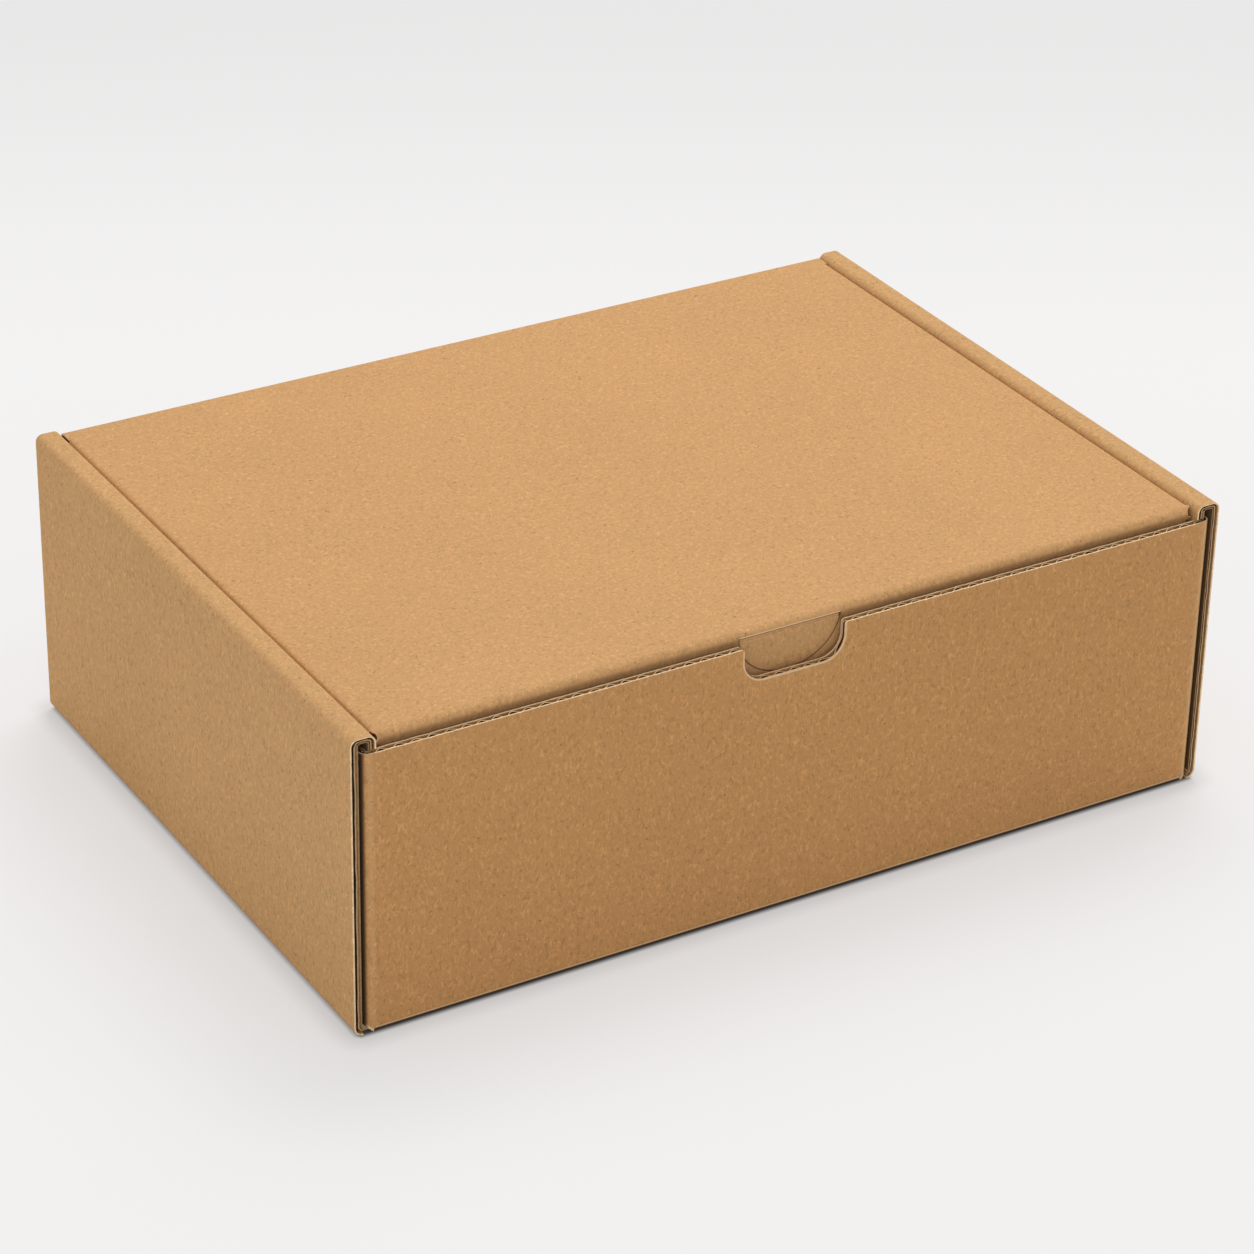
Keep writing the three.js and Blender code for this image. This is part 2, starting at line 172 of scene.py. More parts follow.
# Colour of the painted contact shadow on the floor
CONTACT_SHADOW_COLOUR = (0.060, 0.038, 0.028)
# The floor's painted contact shadow, a dark line and a soft shade, by the distance in mm from the
# footprint less this inset
FOOT_INSET = 2.4
CONTACT_SHADOW_LINE, CONTACT_SHADE = (4.4, 0.2), (13.0, 2.0)
CONTACT_DARK, CONTACT_SIDE_LIGHTER, CONTACT_SHADE_DARK = 0.97, 0.35, 0.24
EVENNESS_REACH = 90.0
LAMP_TARGET = (0.0, 0.0, 0.05)
# Name, place, width, height, watts and colour of each lamp
LAMPS = (
    ("key", (0.9, 0.9, 1.9), 1.4, 1.4, 22.0, (1.0, 0.985, 0.96)),
    ("front_fill", (-1.2, -1.3, 1.2), 1.5, 1.2, 5.0, (0.97, 0.985, 1.0)),
)


class Value:
    """A shader socket that can be used in sums."""

    def __init__(self, nodes, socket):
        self.nodes = nodes
        self.socket = socket

    def maths(self, operation, second=None, swapped=False):
        pair = (second, self) if swapped else (self, second)
        return self.nodes.node("ShaderNodeMath", dict(enumerate(pair)), operation=operation)

    def __add__(self, other):
        return self.maths("ADD", other)

    __radd__ = __add__

    def __sub__(self, other):
        return self.maths("SUBTRACT", other)

    def __rsub__(self, other):
        return self.maths("SUBTRACT", other, swapped=True)

    def __mul__(self, other):
        return self.maths("MULTIPLY", other)

    __rmul__ = __mul__

    def __truediv__(self, other):
        return self.maths("DIVIDE", other)

    def power(self, exponent):
        return self.maths("POWER", exponent)

    def most(self, other):
        return self.maths("MAXIMUM", other)

    def size(self):
        return self.maths("ABSOLUTE")

    def between(self, low, high):
        """0 below low, 1 above high, smooth in between; low may be the larger one."""
        inputs = {0: self, 1: low, 2: high, 3: 0.0, 4: 1.0}
        return self.nodes.node("ShaderNodeMapRange", inputs, interpolation_type="SMOOTHSTEP")

    def within(self, low, high, soft):
        """1 from low to high, with soft borders."""
        return self.between(low - soft, low + soft) * self.between(high + soft, high - soft)


class Nodes:
    """A node tree: node() makes any node, settings first, and put() fills a socket."""

    def __init__(self, tree):
        self.tree = tree

    def put(self, slot, value):
        if isinstance(value, Value):
            self.tree.links.new(value.socket, slot)
        elif hasattr(slot.default_value, "__len__") and len(value) < len(slot.default_value):
            slot.default_value = (*value, 1.0)
        else:
            slot.default_value = value

    def node(self, kind, inputs, output=0, **settings):
        made = self.tree.nodes.new(kind)
        for key, value in settings.items():
            setattr(made, key, value)
        for key, value in inputs.items():
            if value is not None:
                self.put(made.inputs[key], value)
        return Value(self, made.outputs[output])

    def seen(self):
        """1 on rays from the camera, also by way of a mirror or glass."""
        kinds = ("Is Camera Ray", "Is Glossy Ray", "Is Transmission Ray")
        camera, mirror, glass = (self.node("ShaderNodeLightPath", {}, kind) for kind in kinds)
        return camera + mirror + glass

    def choose(self, share, first, second, output):
        """Shows the first shader, and the second by its share, on the tree's output node."""
        choice = self.node("ShaderNodeMixShader", {0: share, 1: first, 2: second})
        self.put(self.tree.nodes[output].inputs["Surface"], choice)


class Shader(Nodes):
    """One material."""

    def __init__(self, name, roughness):
        self.material = bpy.data.materials.new(name)
        self.material.use_nodes = True
        super().__init__(self.material.node_tree)
        self.surface = self.tree.nodes["Principled BSDF"]
        self.surface.inputs["Roughness"].default_value = roughness
        self.surface.inputs["Specular IOR Level"].default_value = 0.25

    def place(self):
        """The piece's own coordinates, in metres."""
        return self.node("ShaderNodeTexCoord", {}, "Object")

    def axes(self, place):
        """X, Y and Z of a place in metres, as millimetres."""
        return [self.node("ShaderNodeSeparateXYZ", {0: place}, axis) / MM for axis in "XYZ"]

    def stretched(self, place, scale):
        return self.node("ShaderNodeVectorMath", {0: place, 1: scale}, operation="MULTIPLY")

    def moved(self, place, offset):
        return self.node("ShaderNodeVectorMath", {0: place, 1: offset}, operation="ADD")

    def noise(self, place, scale, detail=2.0, roughness=0.5):
        inputs = {"Vector": place, "Scale": scale, "Detail": detail, "Roughness": roughness}
        return self.node("ShaderNodeTexNoise", inputs)

    def mixed(self, factor, first, second):
        return self.node("ShaderNodeMix", {0: factor, 6: first, 7: second}, 2, data_type="RGBA")

    def bump(self, height, distance, strength):
        inputs = {"Strength": strength, "Distance": distance, "Height": height}
        return self.node("ShaderNodeBump", inputs)

    def finish(self, colour, normal=None):
        self.put(self.surface.inputs["Base Color"], colour)
        if normal is not None:
            self.put(self.surface.inputs["Normal"], normal)
        return self.material


def tinted(colour, share):
    return tuple(c * share for c in colour)


def fibres(s, place, scale, offset):
    """Short curly lines: where a noise is near its middle value, broken up by a second noise."""
    at = s.moved(place, (offset, 2 * offset, 3 * offset))
    curve = (s.noise(at, scale, 1.0) - 0.5).size().between(0.060, 0.015)
    return curve * s.noise(at, 1.3 * scale, 0.0).between(0.50, 0.60)


def kraft(name, colour, marks_and_painted_light=None):
    """Uncoated brown liner: faint clouds and pulp, short light and dark fibres, and few dark specks."""
    s = Shader(name, 0.88)
    at = s.place()
    upright = s.stretched(at, (1.0, 1.0, UPRIGHT_STRETCH))
    pulp = s.noise(at, PULP_SCALE, 3.0, 0.65)
    grain = s.noise(upright, GRAIN_SCALE, 2.0)
    shade = 1.0 + (s.noise(at, CLOUD_SCALE, 3.0, 0.55) - 0.5) * CLOUD_SHADE
    shade = shade + (pulp - 0.5) * PULP_SHADE + (grain - 0.5) * GRAIN_SHADE
    for scale, offset, strength in FIBRES:
        shade = shade + fibres(s, upright, scale, offset) * strength
    shade = shade - s.noise(at, SPECK_SCALE, 1.0).between(0.71, 0.77) * SPECK_SHADE
    made = s.mixed(shade - 0.5, tinted(colour, 0.5), tinted(colour, 1.5))
    # Cut lines, painted highlights and painted shade of each part
    if marks_and_painted_light:
        made = marks_and_painted_light(s, made, colour, *s.axes(at))
    return s.finish(made, s.bump(pulp * 0.4 + grain * 0.6, BUMP_DISTANCE, BUMP_STRENGTH))


def lid_cuts_and_painted_shade(s, made, colour, x, y, z):
    """Half-ellipse cut in the tuck flap, the slit along its crease, a light raw edge over a painted shadow
    line, and painted shade on the crease on both sides of the slit and on the tuck flap's face below the
    crease."""
    top = LID_TOP - CREASE_RADIUS
    across = x - NOTCH_MIDDLE
    face = y.between(*FLAP_OUTSIDE)
    round_way = ((across / NOTCH_HALF).power(2.0) + ((z - top) / PULL_TAB_DEPTH).power(2.0)).power(0.5)
    off = (round_way - 1.0).size() * PULL_TAB_DEPTH
    moon = off.between(*PULL_TAB_LINE) * z.between(top, top - PULL_TAB_TOP)
    width = across.size().between(NOTCH_HALF + SLIT_SOFT, NOTCH_HALF - SLIT_SOFT)
    # Painted shadow: a dark line under the slit's raw edge
    low, high = SLIT_SHADOW_LINE
    under = z.within(top + low, top + high, SLIT_SOFT) * width
    ends = across.size().within(NOTCH_HALF - SLIT_END_HALF, NOTCH_HALF + SLIT_END_HALF, SLIT_SOFT)
    ends = ends * z.within(top - SLIT_END_DEPTH, top, SLIT_END_SOFT)
    # Painted shade: the crease darker beside the slit, and the tuck flap's face darker below the crease
    crease = z.between(*CREASE_SHADE_TOP) * z.between(*CREASE_SHADE_FOOT) * (1.0 - width) * face
    flap = z.between(*FLAP_SHADE) * face * 0.14
    made = s.mixed((crease * 0.50).most(flap), made, tinted(colour, 0.20))
    lined = s.mixed((moon * 0.80 + under * 0.75 + ends * 0.75) * face, made, tinted(colour, 0.16))
    low, high = SLIT_EDGE
    raw = z.within(top + low, top + high, SLIT_SOFT) * width * y.between(*SLIT_OUTSIDE)
    return s.mixed(raw, lined, EDGE_COLOUR)


def side_painted_shade(s, made, colour, x, y, z):
    """Painted shade: a darker underside of the bottom fold, and the unlit hollow between the two layers of
    a side wall painted near black.
    """
    # Painted shade on the underside of the bottom fold, and near black in the hollow
    under = z.between(*SIDE_FOOT_SHADE) * x.size().between(*OUTSIDE_OF_SIDE_WALL)
    hollow = x.size().within(*HOLLOW_ACROSS, HOLLOW_SOFT) * z.within(*HOLLOW_UP, HOLLOW_SOFT)
    return s.mixed(under.most(hollow) * 0.85, made, tinted(colour, 0.12))


def front_painted_light_and_shade(s, made, colour, x, y, z):
    """Painted highlights on the folds at the foot and by the corners, a pale rim round the thumb notch,
    and painted shade in the corner gaps and on the underside. The rim lies at an even distance from the
    notch's outline, and the painted foot highlight ends in a slanting point at each corner."""
    outside = y.size().between(*OUTSIDE_OF_END_WALL)
    beyond = x.size().between(END_WALL_HALF - 0.3, END_WALL_HALF)
    # Painted highlight along the fold at the foot, ending in a slanting point at each corner
    foot = z.within(*FOOT_HIGHLIGHT, FOOT_HIGHLIGHT_SOFT) * outside * (1.0 - beyond)
    slant = z - POINT_LOW - (x.size() - END_WALL_HALF) * POINT_SLOPE
    point = slant.between(*POINT_HIGHLIGHT) * beyond * outside
    # Painted sheen and a painted highlight line on each rounded corner
    sheen = x.size().within(*CORNER_SHEEN, CORNER_SHEEN_SOFT) * 0.16
    corner = sheen.most(x.within(*CORNER_HIGHLIGHT, CORNER_HIGHLIGHT_SOFT) * 0.60)
    made = s.mixed(corner, made, PAINTED_HIGHLIGHT_COLOUR)
    made = s.mixed(foot.most(point) * 0.85, made, EDGE_COLOUR)
    beside = ((x - NOTCH_MIDDLE).size() - (NOTCH_HALF - NOTCH_RADIUS)).most(0.0)
    below = (NOTCH_FLOOR + NOTCH_RADIUS - z).most(0.0)
    away = (beside * beside + below * below).power(0.5) - NOTCH_RADIUS
    rim = away.between(*NOTCH_RIM) * y.between(*NOTCH_RIM_DEPTH)
    made = s.mixed(rim * 0.75, made, EDGE_COLOUR)
    # Painted shade on the underside of the foot fold and in the gaps by the corners
    under = z.between(*FOOT_SHADE) * outside * (1.0 - beyond) * 0.90
    gap_shade = x.size().between(*CORNER_GAP_SHADE) * 0.94
    return s.mixed(under.most(gap_shade), made, tinted(colour, 0.07))


# Curves and grids, in millimetres


def arc(centre, radius, start, end, steps=10):
    """Points of a circle round centre, from angle start to angle end in degrees."""
    turn = np.radians(np.linspace(start, end, steps + 1))
    return np.array(centre) + radius * np.column_stack((np.cos(turn), np.sin(turn)))


def line(first, last, steps):
    """Evenly spaced points from first to last."""
    return np.linspace(first, last, steps + 1)


def joined(*stretches):
    """One polyline from stretches that meet end to end."""
    return np.vstack([stretches[0]] + [stretch[1:] for stretch in stretches[1:]])


def part_way(outer, inner, share):
    """Grid at a share of the way from the outer grid to the inner one."""
    share = np.asarray(share, float)
    return outer + (inner - outer) * (share[..., None] if share.ndim else share)


def smooth_step(value):
    """0 up to 0, 1 from 1 on, three squares less two cubes in between."""
    held = np.clip(value, 0.0, 1.0)
    return held * held * (3.0 - 2.0 * held)


def unrest(along, seed, length=9.0):
    """Sum of five sines of uneven lengths and phases, about -1 to 1."""
    rng = np.random.default_rng(seed)
    waves = zip(rng.uniform(0.35, 2.6, 5) * length, rng.uniform(0, 2 * np.pi, 5))
    return sum(np.sin(2 * np.pi * along / size + phase) for size, phase in waves) / 2.6


def swept_x(xs, section):
    """Grid of a section in Y and Z carried along X: first index x, second the section."""
    grid = np.empty((len(xs), len(section), 3))
    grid[..., 0] = np.asarray(xs)[:, None]
    grid[..., 1:] = section[None]
    return grid


def swept_y(ys, section):
    """Grid of a section in X and Z carried along Y: first index y, second the section."""
    grid = np.empty((len(ys), len(section), 3))
    grid[..., 1] = np.asarray(ys)[:, None]
    grid[..., 0], grid[..., 2] = section[None, :, 0], section[None, :, 1]
    return grid


# Materials of a sheet, in the order that make() is given them
# DEEP is near black, painted shade inside the board
FACE, CUT, DEEP, RAW, DULL, END_FACE = range(6)


class Sheet:
    """Gathers closed slabs of board into one mesh. Kinds are the materials' places in make()."""

    def __init__(self):
        self.points, self.quads, self.kinds, self.count = [], [], [], 0

    def slab(self, first, second, face=FACE, edge=CUT):
        """Closed slab: two grids of one shape, and a border that joins their rims."""
        rows, columns = first.shape[:2]
        total = rows * columns
        ids = np.arange(total).reshape(rows, columns)
        near = np.stack((ids[:-1, :-1], ids[1:, :-1], ids[1:, 1:], ids[:-1, 1:]), -1).reshape(-1, 4)
        rim = np.concatenate((ids[:, 0], ids[-1, 1:], ids[-2::-1, -1], ids[0, -2:0:-1]))
        following = np.roll(rim, -1)
        border = np.column_stack((following, rim, rim + total, following + total))
        quads = np.vstack((near, near[:, ::-1] + total, border))
        points = np.vstack((first.reshape(-1, 3), second.reshape(-1, 3)))
        a, b, c, d = (points[quads[:, i]] - points[0] for i in range(4))
        volume = np.einsum("ij,ij->", a, np.cross(b, c)) + np.einsum("ij,ij->", a, np.cross(c, d))
        if volume < 0:
            quads = quads[:, ::-1]
        self.points.append(points)
        self.quads.append(quads + self.count)
        self.kinds.append(np.repeat((face, edge), (2 * len(near), len(border))))
        self.count += 2 * total

    def board(self, outer, inner, face=FACE):
        """The two liners of a sheet of board that lies between two grids."""
        self.slab(outer, part_way(outer, inner, LINER_SHARE), face)
        self.slab(part_way(outer, inner, 1.0 - LINER_SHARE), inner, face)

    def core(self, outer, inner, low=LINER_SHARE, high=1.0 - LINER_SHARE):
        """Plain filling between the liners, near black as painted shade of the flutes, for stretches whose
        flutes never show.
        """
        self.slab(part_way(outer, inner, low), part_way(outer, inner, high), DEEP, DEEP)

    def medium(self, outer, inner, along):
        """Wavy middle layer: a slab whose place in the board is a sine of the distance along it."""
        phase = 2 * np.pi * along / FLUTE_PITCH + 0.5 * unrest(along, 5, 40.0)
        share = 0.5 + WAVE_SHARE * np.sin(phase)
        near = part_way(outer, inner, share - MEDIUM_HALF)
        # Its faces are near black, painted shade of the flutes; its rims take the cut edge colour
        self.slab(near, part_way(outer, inner, share + MEDIUM_HALF), DEEP, CUT)

    def make(self, name, materials):
        points = np.vstack(self.points) * MM
        quads, kinds = np.vstack(self.quads), np.concatenate(self.kinds)
        mesh = bpy.data.meshes.new(name)
        mesh.vertices.add(len(points))
        mesh.vertices.foreach_set("co", points.ravel())
        mesh.loops.add(quads.size)
        mesh.loops.foreach_set("vertex_index", quads.ravel().astype(np.int32))
        mesh.polygons.add(len(quads))
        mesh.polygons.foreach_set("loop_start", np.arange(0, quads.size, 4, dtype=np.int32))
        mesh.polygons.foreach_set("material_index", kinds.astype(np.int32))
        mesh.update(calc_edges=True)
        mesh.polygons.foreach_set("use_smooth", np.ones(len(quads), bool))
        mesh.set_sharp_from_angle(angle=np.radians(38.0))
        for material in materials:
            mesh.materials.append(material)
        made = bpy.data.objects.new(name, mesh)
        bpy.context.scene.collection.objects.link(made)
        return made


# Tray


def side_wall_sections(side):
    """Outer and inner curves in X and Z: bottom fold, outer wall, flat ridge, inner wall."""
    inside_left, inside_right = INNER_BACK + RIDGE_INSIDE, OUTER_BACK - RIDGE_INSIDE
    left, right = INNER_FACE + RIDGE_RADIUS, HALF_WIDTH - RIDGE_RADIUS
    shoulder, fold = HEIGHT - RIDGE_RADIUS, HALF_WIDTH - FOLD_OUTSIDE
    outer = joined(
        arc((fold, FOLD_OUTSIDE), FOLD_OUTSIDE, -90, 0),
        line((HALF_WIDTH, FOLD_OUTSIDE), (HALF_WIDTH, shoulder), SIDE_WALL_ROWS),
        arc((right, shoulder), RIDGE_RADIUS, 0, 90),
        line((right, HEIGHT), (left, HEIGHT), 6),
        arc((left, shoulder), RIDGE_RADIUS, 90, 180),
        line((INNER_FACE, shoulder), (INNER_FACE, INNER_FOOT), SIDE_WALL_ROWS),
    )
    inner = joined(
        arc((fold, FOLD_OUTSIDE), FOLD_INSIDE, -90, 0),
        line((OUTER_BACK, FOLD_OUTSIDE), (OUTER_BACK, shoulder), SIDE_WALL_ROWS),
        arc((inside_right, RIDGE_UNDERSIDE - RIDGE_INSIDE), RIDGE_INSIDE, 0, 90),
        line((inside_right, RIDGE_UNDERSIDE), (inside_left, RIDGE_UNDERSIDE), 6),
        arc((inside_left, RIDGE_UNDERSIDE - RIDGE_INSIDE), RIDGE_INSIDE, 90, 180),
        line((INNER_BACK, shoulder), (INNER_BACK, INNER_FOOT), SIDE_WALL_ROWS),
    )
    return outer * (side, 1.0), inner * (side, 1.0)


def add_side_wall(sheet, side):
    """Double wall carried along Y. At its raw ends the outer liner stands off a dark channel, floored with
    the near-black painted shade of the core.
    """
    outer, inner = side_wall_sections(side)
    ends = inner_wall_ends(outer)
    share = np.linspace(-1.0, 1.0, SIDE_WALL_STATIONS)
    fine = np.sign(share) * (1.0 - (1.0 - np.abs(share)) ** 1.6)
    along = np.arange(len(outer)) * SECTION_STEP

    def grid(section, setback, seed):
        made = swept_y(fine, section)
        ragged = setback + 0.07 * unrest(along, seed) * (setback > 0)
        made[..., 1] = fine[:, None] * (ends - ragged)[None]
        bent = 0.05 * unrest(made[..., 1] + 40 * made[..., 2], seed, 60.0)
        made[..., 0] += side * bent * (section[:, 1] > RIDGE_BEND_FROM)
        return made

    faces = [grid(outer, 0.0, 1), grid(inner, 0.0, 1)]
    sheet.slab(faces[0], part_way(*faces, LINER_SHARE))
    wander = 0.03 * unrest(along, 11 + side, 14.0)
    tan = [grid(outer, TAN_SETBACK, 2), grid(inner, TAN_SETBACK, 2)]
    sheet.slab(*(part_way(*tan, share + wander[None]) for share in TAN_LAYER), DEEP, DULL)
    dim = [grid(outer, DIM_SETBACK, 3), grid(inner, DIM_SETBACK, 3)]
    sheet.slab(part_way(*dim, TAN_LAYER[1] + wander[None]), part_way(*dim, DIM_LAYER_TO), RAW, RAW)
    sheet.slab(part_way(*faces, INNER_LINER_FROM), faces[1], FACE, RAW)
    deep = [grid(outer, CHANNEL_DEPTH, 4), grid(inner, CHANNEL_DEPTH, 4)]
    sheet.core(*deep, LINER_SHARE + 0.005, CHANNEL_FILL_TO)


def inner_wall_ends(outer):
    """How far each point of the section reaches along Y: the inner wall stops behind the end walls."""
    reach = np.full(len(outer), SIDE_END)
    inside = np.arange(len(outer)) > len(outer) // 2
    reach[inside & (outer[:, 1] < FRONT_EDGE + TAB_GAP)] = HALF_DEPTH - BOARD - TAB_GAP
    return reach


def folded_path(half, face, free, step):
    """Outer and inner curves in X and Y of an upright panel with a flap folded back at each end."""
    fold, turn = half - FOLD_OUTSIDE, face + FOLD_OUTSIDE
    count = round(2 * fold / step)

    def side(inset, radius):
        edge, level = half - inset, face + inset
        return joined(
            line((-edge, free), (-edge, turn), FLAP_STEPS),
            arc((-fold, turn), radius, 180, 270),
            line((-fold, level), (fold, level), count),
            arc((fold, turn), radius, -90, 0),
            line((edge, turn), (edge, free), FLAP_STEPS),
        )

    return side(0.0, FOLD_OUTSIDE), side(BOARD, FOLD_INSIDE)


def notch_edge():
    """The notched top edge in X and Z between the notch's two lips, from left to right."""
    left, right = NOTCH_MIDDLE - NOTCH_HALF, NOTCH_MIDDLE + NOTCH_HALF
    low, lip = NOTCH_FLOOR + NOTCH_RADIUS, FRONT_EDGE - NOTCH_LIP
    return joined(
        arc((left - NOTCH_LIP, lip), NOTCH_LIP, 90, 0, 6),
        line((left, lip), (left, low), 8),
        arc((left + NOTCH_RADIUS, low), NOTCH_RADIUS, 180, 270, 26),
        line((left + NOTCH_RADIUS, NOTCH_FLOOR), (right - NOTCH_RADIUS, NOTCH_FLOOR), 47),
        arc((right - NOTCH_RADIUS, low), NOTCH_RADIUS, 270, 360, 26),
        line((right, low), (right, lip), 8),
        arc((right + NOTCH_LIP, lip), NOTCH_LIP, 180, 90, 6),
    )


def flap_taper(y):
    """How far a corner flap's edges draw in towards its rounded free end."""
    corner = HALF_DEPTH - FOLD_OUTSIDE
    out = np.clip((corner - np.abs(y)) / (corner - FLAP_FREE_END), 0, 1)
    past = np.clip(1.0 - (np.abs(y) - FLAP_FREE_END) / FLAP_ROUND, 0, 1)
    return FLAP_TAPER * out + FLAP_ROUND * (1.0 - np.sqrt(1.0 - past**2))


def notched(outer, inner):
    """Curves and top edge of the front wall, with the columns of the notch's outline let in between.
    The feet are spread apart by a share of the edge's height above the notch's floor, which falls
    smoothly to nothing with the distance from the notch."""
    edge = notch_edge()
    x, on_face = outer[:, 0], outer[:, 1] < -HALF_DEPTH + 0.01
    before = np.flatnonzero((x < edge[0, 0] - 0.1) & on_face | (x < -END_WALL_HALF))
    after = np.flatnonzero((x > edge[-1, 0] + 0.1) & on_face | (x > END_WALL_HALF))
    between = np.column_stack((edge[:, 0], np.full(len(edge), -HALF_DEPTH)))
    outer = np.vstack((outer[before], between, outer[after]))
    inner = np.vstack((inner[before], between + (0, BOARD), inner[after]))
    top_x = outer[:, 0].copy()
    top_z = np.full(len(outer), FRONT_EDGE)
    top_z[len(before):len(before) + len(edge)] = edge[:, 1]
    off = np.abs(top_x - NOTCH_MIDDLE) - NOTCH_HALF
    spread = NOTCH_SPREAD * (top_z - NOTCH_FLOOR) * (1.0 - smooth_step(off / NOTCH_SPREAD_REACH))
    for path in (outer, inner):
        path[:, 0] += np.sign(top_x - NOTCH_MIDDLE) * spread
    return outer, inner, top_x, top_z


def end_wall_columns(front):
    """Outer and inner foot places, top edge and height of each column of an end wall with its flaps."""
    step = WAVE_STEP if front else 2 * WAVE_STEP
    outer, inner = folded_path(END_WALL_HALF + FOLD_OUTSIDE, -HALF_DEPTH, -FLAP_FREE_END, step)
    if front:
        outer, inner, top_x, top_z = notched(outer, inner)
    else:
        top_x, top_z = outer[:, 0].copy(), np.full(len(outer), FRONT_EDGE)
        top_z[np.abs(top_x) <= LID_HALF] = BACK_WALL_TOP
    corner = HALF_DEPTH - FOLD_OUTSIDE
    taper = flap_taper(outer[:, 1]) * (np.abs(outer[:, 1]) < corner)
    round_corner = np.clip((np.abs(outer[:, 0]) - END_WALL_HALF) / FOLD_OUTSIDE, 0, 1)
    in_arc = (round_corner > 0) & (np.abs(outer[:, 1]) > corner + 0.01)
    foot = np.where(in_arc, POINT_LOW + (FOLD_OUTSIDE - POINT_LOW) * round_corner, FOLD_OUTSIDE)
    return outer, inner, top_x, top_z - taper, foot + taper


def add_end_wall(sheet, front):
    """Upright wall, ruled from an even foot line to its cut top edge, with wavy medium under the edge."""
    outer, inner, top_x, top_z, foot_z = end_wall_columns(front)
    way = 1.0 if front else -1.0
    rows = np.array([0.0, LEAN_FROM, 0.75, 0.95, 1.0])

    def grid(foot, heights, sink):
        made = np.empty((len(foot), len(heights), 3))
        lean = np.clip((heights - LEAN_FROM) / (1.0 - LEAN_FROM), 0, 1)[None]
        made[..., 0] = foot[:, 0, None] * (1 - lean) + (top_x + foot[:, 0] - outer[:, 0])[:, None] * lean
        made[..., 1] = foot[:, 1, None] * way
        made[..., 2] = foot_z[:, None] + (top_z - sink - foot_z)[:, None] * heights[None]
        return made

    along = outer[:, 0] + np.sign(outer[:, 0]) * (HALF_DEPTH - np.abs(outer[:, 1]))
    ragged = RAGGED[0] + RAGGED[1] * unrest(along, 21, 5.0)
    sheet.board(grid(outer, rows, ragged), grid(inner, rows, ragged), END_FACE)
    depth = WAVE_DEPTH / (FRONT_EDGE - FOLD_OUTSIDE)
    high = 1.0 - depth * np.linspace(1.0, 0.0, 3)
    sink = SUNK_IN_WALL[0] + SUNK_IN_WALL[1] * unrest(along, 22, 6.0)
    near, far = grid(outer, high, sink), grid(inner, high, sink)
    run = np.where(np.abs(near[..., 0]) < END_WALL_HALF, near[..., 0], along[:, None])
    sheet.medium(near, far, run)
    low = np.linspace(0.0, 1.0 - depth, 3)
    sheet.core(grid(outer, low, 0.0), grid(inner, low, 0.0))


def add_end_fold(sheet, way):
    """Quarter-round fold between the bottom and an end wall, carried along X."""
    xs = np.linspace(-END_WALL_HALF, END_WALL_HALF, 25)
    corner = HALF_DEPTH - FOLD_OUTSIDE
    outer = arc((corner, FOLD_OUTSIDE), FOLD_OUTSIDE, -90, 0) * (way, 1.0)
    inner = arc((corner, FOLD_OUTSIDE), FOLD_INSIDE, -90, 0) * (way, 1.0)
    sheet.board(swept_x(xs, outer), swept_x(xs, inner), END_FACE)
    sheet.core(swept_x(xs * 0.998, outer), swept_x(xs * 0.998, inner))


def add_flat(sheet, x_range, y_range, low=0.0, high=BOARD):
    """One level slab of board over a rectangle."""
    xs, ys = np.linspace(*x_range, 6), np.linspace(*y_range, 6)
    grid = np.stack((*np.meshgrid(xs, ys, indexing="ij"), np.full((6, 6), high)), -1)
    sheet.slab(grid, grid - (0, 0, high - low))


def add_bottom(sheet):
    """Bottom panel with four slots, and the inner walls' tabs that lock into them."""
    reach, edge = HALF_DEPTH - FOLD_OUTSIDE, HALF_WIDTH - FOLD_OUTSIDE
    near, far = INNER_FACE - TAB_GAP, INNER_BACK + TAB_GAP
    add_flat(sheet, (-near, near), (-reach, reach))
    slot = TAB_HALF + TAB_GAP
    for side in (-1, 1):
        add_flat(sheet, sorted((side * far, side * edge)), (-reach, reach))
        first, last = TAB_MIDDLE - slot, TAB_MIDDLE + slot
        for ys in ((-reach, -last), (-first, first), (last, reach)):
            add_flat(sheet, sorted((side * near, side * far)), ys)
        for end in (-1, 1):
            ys = (end * TAB_MIDDLE - TAB_HALF, end * TAB_MIDDLE + TAB_HALF)
            add_flat(sheet, sorted((side * INNER_FACE, side * INNER_BACK)), ys, TAB_GAP, INNER_FOOT)


def tray_sheet():
    sheet = Sheet()
    for side in (-1, 1):
        add_side_wall(sheet, side)
        add_end_fold(sheet, side)
    add_end_wall(sheet, True)
    add_end_wall(sheet, False)
    add_bottom(sheet)
    return sheet


# Lid


def lid_sections(foot):
    """Outer and inner curves in Y and Z: panel, front crease, tuck flap down to foot."""
    def face(level):
        return TUCK_FACE + TUCK_LEAN * (LID_TOP - level)

    low = LID_TOP - CREASE_RADIUS
    turn = TUCK_FACE + CREASE_RADIUS
    outer = joined(
        line((LID_BACK, LID_TOP), (turn + PANEL_FRONT, LID_TOP), 12),
        line((turn + PANEL_FRONT, LID_TOP), (turn, LID_TOP), 8),
        arc((turn, low), CREASE_RADIUS, 90, 180, 14),
        line((TUCK_FACE, low), (face(foot), foot), 10),
    )
    bend = LID_UNDERSIDE - FOLD_INSIDE
    inside = face(bend) + BOARD
    inner = joined(
        line((LID_BACK, LID_UNDERSIDE), (turn + PANEL_FRONT, LID_UNDERSIDE), 12),
        line((turn + PANEL_FRONT, LID_UNDERSIDE), (inside + FOLD_INSIDE, LID_UNDERSIDE), 8),
        arc((inside + FOLD_INSIDE, bend), FOLD_INSIDE, 90, 180, 14),
        line((inside, bend), (face(foot) + BOARD, foot), 10),
    )
    return outer, inner


